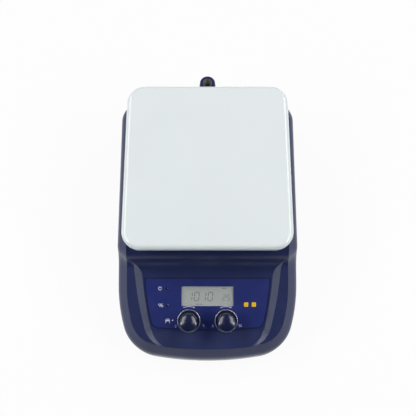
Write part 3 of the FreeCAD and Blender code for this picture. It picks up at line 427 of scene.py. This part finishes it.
class Marks:
    """flat raised prints drawn in one plane and lifted onto a surface"""

    def __init__(self, place):
        """place gives the point for x, y in the plane and n out of it"""
        self.bm = bmesh.new()
        self.place = place

    def shape(self, points):
        if sum(a[0] * b[1] - b[0] * a[1] for a, b in zip(points, points[1:] + points[:1])) < 0:
            points = points[::-1]
        low = [self.bm.verts.new(self.place(x, y, 0.0)) for x, y in points]
        up = [self.bm.verts.new(self.place(x, y, PRINT)) for x, y in points]
        self.bm.faces.new(up)
        self.bm.faces.new(low[::-1])
        for i in range(len(points)):
            j = (i + 1) % len(points)
            self.bm.faces.new((low[i], low[j], up[j], up[i]))

    def bar(self, a, b, width):
        a, b = Vector(a), Vector(b)
        side = Vector((a.y - b.y, b.x - a.x)).normalized() * width / 2
        self.shape([tuple(p) for p in (a + side, a - side, b - side, b + side)])

    def arc(self, centre, radius, start, stop, width, steps=14):
        """curved band, angles in degrees"""
        inner, outer = [], []
        for k in range(steps + 1):
            a = math.radians(start + (stop - start) * k / steps)
            for row, r in ((inner, radius - width / 2), (outer, radius + width / 2)):
                row.append((centre[0] + r * math.cos(a), centre[1] + r * math.sin(a)))
        for k in range(steps):
            self.shape([inner[k], outer[k], outer[k + 1], inner[k + 1]])

    def dot(self, centre, radius, steps=20):
        turns = [2 * math.pi * k / steps for k in range(steps)]
        self.shape([(centre[0] + radius * math.cos(a), centre[1] + radius * math.sin(a)) for a in turns])

    def soft_square(self, centre, half, corner, steps=5):
        points = []
        for q, (sx, sy) in enumerate(((1, 1), (-1, 1), (-1, -1), (1, -1))):
            for k in range(steps + 1):
                a = math.radians(90 * q + 90 * k / steps)
                points.append((centre[0] + sx * (half - corner) + corner * math.cos(a),
                               centre[1] + sy * (half - corner) + corner * math.sin(a)))
        self.shape(points)

    def arrow(self, tip, angle, size):
        """arrow head, pointing along angle in degrees"""
        a = math.radians(angle)
        along, across = Vector((math.cos(a), math.sin(a))), Vector((-math.sin(a), math.cos(a)))
        tip = Vector(tip)
        back = tip - along * size
        self.shape([tuple(p) for p in (tip, back + across * size / 2, back - across * size / 2)])

    def number(self, text, centre, height, stroke, lean=0.0):
        """figures built of seven strokes"""
        width = height * FIGURE_WIDTH
        pitch = width + height * FIGURE_SPACE
        first = centre[0] - pitch * (len(text) - 1) / 2
        for k, figure in enumerate(text):
            for key in FIGURES[figure]:
                ends = []
                for u, v in STROKES[key]:
                    y = (v / 2 - 0.5) * height
                    ends.append(Vector((first + k * pitch + (u - 0.5) * width + y * lean, centre[1] + y)))
                gap = (ends[1] - ends[0]).normalized() * stroke * STROKE_GAP
                self.bar(ends[0] + gap, ends[1] - gap, stroke)

    def finished(self, name, body, slot, material):
        mesh = bpy.data.meshes.new(name)
        self.bm.to_mesh(mesh)
        self.bm.free()
        piece(name, mesh, body, slot, material)


def panel_marks(level):
    """prints on the control panel, at a level above its face"""
    c, k = math.cos(PANEL_TILT), math.sin(PANEL_TILT)

    def on_panel(x, s, n):
        n += level
        return Vector((x, PANEL_FOOT_Y + s * c - n * k, PANEL_FOOT_Z + s * k + n * c))

    return Marks(on_panel)


def display_figures():
    """speed in large figures, temperature in small ones, and a short bar beside each"""
    marks = panel_marks(DISPLAY_FACE)
    marks.number("1010", (-0.0085, DISPLAY_S - 0.0004), height=0.0098, stroke=0.0010, lean=NUMBER_LEAN)
    marks.number("25", (0.0215, DISPLAY_S - 0.0016), height=0.0062, stroke=0.0007, lean=NUMBER_LEAN)
    marks.bar((0.0165, DISPLAY_S + 0.0085), (0.0215, DISPLAY_S + 0.0085), width=0.0008)
    marks.bar((-0.0135, DISPLAY_S - 0.0092), (-0.0055, DISPLAY_S - 0.0092), width=0.0007)
    marks.finished("display_figures", "housing", "display_grey", segment_ink)


def arc_through(a, b, c, steps=16):
    """points along the circle through three points, from a to c"""
    ax, ay, bx, by, cx, cy = *a, *b, *c
    far_a, far_b, far_c = (x * x + y * y for x, y in (a, b, c))
    d = 2 * (ax * (by - cy) + bx * (cy - ay) + cx * (ay - by))
    ux = (far_a * (by - cy) + far_b * (cy - ay) + far_c * (ay - by)) / d
    uy = (far_a * (cx - bx) + far_b * (ax - cx) + far_c * (bx - ax)) / d
    r = math.hypot(ax - ux, ay - uy)
    start = math.atan2(ay - uy, ax - ux)
    turn, middle = (math.atan2(y - uy, x - ux) - start for x, y in (c, b))
    turn = (turn + math.pi) % (2 * math.pi) - math.pi
    middle = (middle + math.pi) % (2 * math.pi) - math.pi
    if turn * middle < 0:
        turn -= math.copysign(2 * math.pi, turn)
    angles = [start + turn * k / steps for k in range(steps + 1)]
    return [(ux + r * math.cos(angle), uy + r * math.sin(angle)) for angle in angles]


def mirrored(point):
    """the same point on the panel's left half"""
    return -point[0], point[1]


def film_edge():
    """outline of the control film, anticlockwise from its upper left corner"""
    rows = [arc_through(mirrored(FILM_CORNER), mirrored(FILM_SIDE), mirrored(FILM_WAIST)),
            arc_through(mirrored(FILM_WAIST), mirrored(FILM_BEND), mirrored(FILM_TOE)),
            arc_through(mirrored(FILM_TOE), FILM_MIDDLE, FILM_TOE, steps=40),
            arc_through(FILM_TOE, FILM_BEND, FILM_WAIST),
            arc_through(FILM_WAIST, FILM_SIDE, FILM_CORNER)]
    points = [rows[0][0]]
    for row in rows:
        points += row[1:]
    return points


def inward(points, step):
    """closed outline moved in by step, with sharp corners cut short"""
    least_lean = 0.35
    out = []
    for i, p in enumerate(points):
        a, b = Vector(points[i - 1]), Vector(points[(i + 1) % len(points)])
        before, after = (Vector(p) - a).normalized(), (b - Vector(p)).normalized()
        n = Vector((-before.y - after.y, before.x + after.x)).normalized()
        lean = max(least_lean, n.dot(Vector((-before.y, before.x))))
        out.append((p[0] + n.x * step / lean, p[1] + n.y * step / lean))
    return out


def film_gap_shade():
    """dark line round the film's edge: painted shade standing in for the shadow gap between film and panel"""
    marks = panel_marks(FILM_TOP)
    outer, inner = (inward(film_edge(), step) for step in GAP_SHADE_INSETS)
    for k in range(len(outer)):
        j = (k + 1) % len(outer)
        marks.shape([outer[k], outer[j], inner[j], inner[k]])
    marks.finished("film_gap_shade", "housing", "film_blue", gap_shade_ink)


def turning_sign(marks, lamp):
    """open circle with an arrow head, left of the stir lamp"""
    x, s = lamp
    marks.arc((x - 0.0080, s), radius=0.0018, start=60, stop=330, width=0.0007)
    marks.arrow((x - 0.0062, s - 0.0002), angle=-70, size=0.0016)


def heat_sign(marks, lamp):
    """three wavy lines, left of the heat lamp"""
    x, s = lamp
    bend = 0.0009
    for k in range(3):
        line = x - 0.0096 + 0.0017 * k
        marks.arc((line, s + bend), bend, start=90, stop=270, width=0.0006, steps=6)
        marks.arc((line, s - bend), bend, start=-90, stop=90, width=0.0006, steps=6)


def knob_scale(marks, x, least, most):
    """arc with an arrow head over a knob, and plain numbers at the ends of its range"""
    radius, head = 0.0158, math.radians(64)
    marks.arc((x, KNOB_S), radius, start=66, stop=114, width=0.0006)
    marks.arrow((x + radius * math.cos(head), KNOB_S + radius * math.sin(head)), angle=-26, size=0.0022)
    marks.number(least, (x - 0.0152, KNOB_S - 0.0062), height=0.0026, stroke=0.0004)
    marks.number(most, (x + 0.0160, KNOB_S - 0.0056), height=0.0026, stroke=0.0004)


def plate_sign(marks, place):
    """small plate on two legs, with two strokes over it and a dot beside it"""
    x, s = place
    marks.bar((x - 0.0026, s + 0.0002), (x + 0.0026, s + 0.0002), width=0.0020)
    for side in (-1, 1):
        marks.bar((x + side * 0.0018, s - 0.0008), (x + side * 0.0024, s - 0.0028), width=0.0006)
    for far, near in ((-0.0014, 0.0002), (0.0014, 0.0004)):
        marks.bar((x + far, s + 0.0026), (x + near, s + 0.0018), width=0.0004)
    marks.dot((x + 0.0058, s + 0.0002), radius=0.0008)


def film_prints():
    """white signs, scales and numbers"""
    marks = panel_marks(FILM_TOP)
    turning_sign(marks, STIR_LAMP)
    heat_sign(marks, HEAT_LAMP)
    knob_scale(marks, -KNOB_X, "0", "15")
    knob_scale(marks, KNOB_X, "0", "38")
    plate_sign(marks, PLATE_SIGN)
    marks.finished("film_prints", "housing", "film_blue", white_ink)


def film_yellow_marks():
    """two plain squares with rounded corners"""
    marks = panel_marks(FILM_TOP)
    for place in YELLOW_MARKS:
        marks.soft_square(place, half=0.0025, corner=0.0010)
    marks.finished("film_yellow_marks", "housing", "film_blue", yellow_ink)


def on_rocker(x, u, n):
    """point of the hollow face of the rocker: x across, u up, n out"""
    out = ROCKER_FACE + ROCKER_HOLLOW - math.sqrt(ROCKER_HOLLOW ** 2 - u * u) + n
    c, k = math.cos(ROCKER_TILT), math.sin(ROCKER_TILT)
    return Vector((ROCKER_PIVOT[0] - x, ROCKER_PIVOT[1] + out * c - u * k, ROCKER_PIVOT[2] + out * k + u * c))


def power_marks():
    """bar for on and ring for off"""
    marks = Marks(on_rocker)
    marks.bar((0.0, 0.0056), (0.0, 0.0030), width=0.0007)
    marks.arc((0.0, -0.0043), radius=0.0014, start=0, stop=360, width=0.0006, steps=24)
    marks.finished("power_marks", "power_key", "rocker_black", white_ink)


def threaded_insert():
    """steel bush of the rod socket with its thread cut all the way down"""
    around, per_turn = 60, 8
    low, high = (Vector(corner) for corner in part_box("rod_insert"))
    middle = (low + high) / 2
    outer = (high.x - low.x) / 2
    top = high.z - THREAD_SINK
    step = THREAD_PITCH / per_turn
    rings = [(outer, low.z, 0), (outer, high.z - BUSH_CHAMFER, 0), (outer - BUSH_CHAMFER, high.z, 0),
             (THREAD_CORE + THREAD_SINK, high.z, 0)]
    rings += [(THREAD_CORE, top - k * step, 1) for k in range(int((top - low.z) / step))]
    rings.append((THREAD_CORE, low.z, 0))
    bm = bmesh.new()
    rows = []
    for radius, z, cut in rings:
        row = []
        for k in range(around):
            phase = (z / THREAD_PITCH + k / around) % 1.0
            r = radius + cut * THREAD_DEPTH * (1 - abs(2 * phase - 1))
            a = 2 * math.pi * k / around
            row.append(bm.verts.new((middle.x + r * math.cos(a), middle.y + r * math.sin(a), z)))
        rows.append(row)
    for i, row in enumerate(rows):
        following = rows[(i + 1) % len(rows)]
        for k in range(around):
            j = (k + 1) % around
            bm.faces.new((row[k], row[j], following[j], following[k]))
    mesh = bpy.data.meshes.new("threaded_insert")
    bm.to_mesh(mesh)
    bm.free()
    mesh.shade_smooth()
    mesh.set_sharp_from_angle(angle=math.radians(35))
    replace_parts(piece("threaded_insert", mesh, "housing", "insert_steel"), "rod_insert")


def drawn_out(u, v, half):
    """point of the plate, measured from its middle: one on the rim moves out to the photograph's outline"""
    seen_half = (half.x + OUT_SIDE, half.y + (OUT_FRONT + OUT_REAR) / 2)
    core = (half.x - PLATE_CORNER, half.y - PLATE_CORNER)
    past = [max(abs(value) - c, 0.0) for value, c in zip((u, v), core)]
    inset = PLATE_CORNER - math.hypot(*past)
    if inset > PLATE_RIM:
        return u, v
    angle = math.atan2(past[1], past[0])
    reach = ((SEEN_CORNER - inset) * math.cos(angle), (SEEN_CORNER - inset) * math.sin(angle))
    out = []
    for value, c, seen, over, extra in zip((u, v), core, seen_half, past, reach):
        seen_core = seen - SEEN_CORNER
        size = seen_core + extra if over > 0.0 else abs(value) * seen_core / c
        out.append(math.copysign(size, value))
    return out[0], out[1] + (OUT_REAR - OUT_FRONT) / 2


def glazed_plate():
    """the plate's own form with its rim a little further out and tighter corners"""
    node = frame["nodes"]["top_plate"]
    low, high = (Vector(corner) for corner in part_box("top_plate"))
    middle, half = (low + high) / 2, (high - low) / 2
    mesh = node.data.copy()
    mesh.name = "glazed_plate"
    mesh.materials.clear()
    for vertex in mesh.vertices:
        place = node.matrix_world @ vertex.co
        u, v = drawn_out(place.x - middle.x, place.y - middle.y, half)
        vertex.co = (middle.x + u, middle.y + v, place.z)
    mesh.update()
    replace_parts(piece("glazed_plate", mesh, "housing", "plate_white"), "top_plate")


def softbox(name, place, size, watts, colour=(1.0, 1.0, 1.0)):
    """rectangular lamp that points at the middle of the object"""
    middle = Vector((0.0, -0.02, 0.06))
    lamp = bpy.data.lights.new(name, "AREA")
    lamp.color = colour
    lamp.shape = "RECTANGLE"
    lamp.size, lamp.size_y = size
    lamp.energy = watts
    obj = bpy.data.objects.new(name, lamp)
    obj.location = place
    obj.rotation_euler = (middle - Vector(place)).to_track_quat("-Z", "Y").to_euler()
    bpy.context.scene.collection.objects.link(obj)


def studio_lamps():
    """on each side a wide softbox, high and a little behind, and a small bluish one in front for glints"""
    for side, name in ((-1, "left"), (1, "right")):
        softbox("softbox_" + name, (side * 0.90, 0.22, 1.09), size=(1.50, 0.54), watts=12.8)
        softbox("glint_" + name, (side * 0.95, -0.42, 0.62), size=(0.26, 0.26), watts=2.3,
                colour=(0.86, 0.91, 1.0))


def shown(tree, mirror_share):
    """1 for rays from the camera or through a clear piece, mirror_share for mirrored rays, else 0"""
    path = tree.nodes.new("ShaderNodeLightPath")
    mirrored_ray = maths(tree, "MULTIPLY", path.outputs["Is Glossy Ray"], mirror_share)
    seen_ray = maths(tree, "MAXIMUM", path.outputs["Is Camera Ray"], path.outputs["Is Transmission Ray"])
    return maths(tree, "MAXIMUM", seen_ray, mirrored_ray)


def axes(tree, vector):
    """outputs X, Y and Z of a vector"""
    parts = tree.nodes.new("ShaderNodeSeparateXYZ")
    tree.links.new(vector, parts.inputs[0])
    return parts.outputs


def studio_world():
    """white to the camera and low at the sides in reflections; it lights with pale walls left and right"""
    dim, wall = 0.04, 1.5
    world = bpy.data.worlds.new("studio")
    world.use_nodes = True
    tree = world.node_tree
    back = tree.nodes["Background"]
    back.inputs["Color"].default_value = (1.0, 1.0, 1.0, 1.0)
    direction = axes(tree, tree.nodes.new("ShaderNodeTexCoord").outputs["Generated"])
    up = direction["Z"]
    aside = maths(tree, "ABSOLUTE", direction["X"])
    light = maths(tree, "MULTIPLY", between(tree, up, start=0.0, stop=0.18, low=1.0, high=dim),
                  between(tree, aside, start=0.70, stop=0.97, low=dim, high=wall))
    low_walls = maths(tree, "MULTIPLY", between(tree, up, start=0.0, stop=0.12, low=1.0, high=0.0),
                      between(tree, aside, start=0.3, stop=0.8, low=0.1, high=1.0))
    white = shown(tree, low_walls)
    lit = maths(tree, "MULTIPLY", light, maths(tree, "SUBTRACT", 1.0, white))
    tree.links.new(maths(tree, "ADD", lit, white), back.inputs["Strength"])
    bpy.context.scene.world = world


def floor():
    """plain pale floor with a soft shadow, white to the camera, and in reflections except far in front"""
    half, paleness, whiteness = 6.0, 0.82, 0.93
    mesh = bpy.data.meshes.new("floor")
    corners = [(-half, -half, 0), (half, -half, 0), (half, half, 0), (-half, half, 0)]
    mesh.from_pydata(corners, [], [(0, 1, 2, 3)])
    obj = bpy.data.objects.new("floor", mesh)
    bpy.context.scene.collection.objects.link(obj)
    mat = bpy.data.materials.new("floor_paper")
    mat.use_nodes = True
    tree = mat.node_tree
    paper = tree.nodes["Principled BSDF"]
    paper.inputs["Base Color"].default_value = (paleness, paleness, paleness, 1)
    paper.inputs["Roughness"].default_value = 0.9
    paper.inputs["Specular IOR Level"].default_value = 0.1
    glow = tree.nodes.new("ShaderNodeEmission")
    glow.inputs["Strength"].default_value = 1.0
    place = axes(tree, tree.nodes.new("ShaderNodeNewGeometry").outputs["Position"])
    near = between(tree, place["Y"], start=-0.46, stop=-0.24, low=0.10, high=1.0)
    mix = tree.nodes.new("ShaderNodeMixShader")
    tree.links.new(maths(tree, "MULTIPLY", shown(tree, near), whiteness), mix.inputs[0])
    tree.links.new(paper.outputs[0], mix.inputs[1])
    tree.links.new(glow.outputs[0], mix.inputs[2])
    tree.links.new(mix.outputs[0], tree.nodes["Material Output"].inputs["Surface"])
    mesh.materials.append(mat)


def photo_camera():
    """almost straight from above, as the photograph was taken"""
    camera = bpy.data.cameras.new("camera")
    camera.sensor_width = 36.0
    camera.lens = 46.75
    camera.shift_x = 0.0012
    camera.clip_start = 0.02
    camera.clip_end = 40.0
    eye = bpy.data.objects.new("camera", camera)
    eye.location = (0.0, -0.1731, 0.6737)
    eye.rotation_euler = (math.radians(16.0), 0.0, 0.0)
    bpy.context.scene.collection.objects.link(eye)
    bpy.context.scene.camera = eye


dress_nodes()
display_figures()
film_gap_shade()
film_prints()
film_yellow_marks()
power_marks()
threaded_insert()
glazed_plate()
studio_lamps()
studio_world()
floor()
photo_camera()
bpy.context.scene.view_settings.view_transform = "Standard"
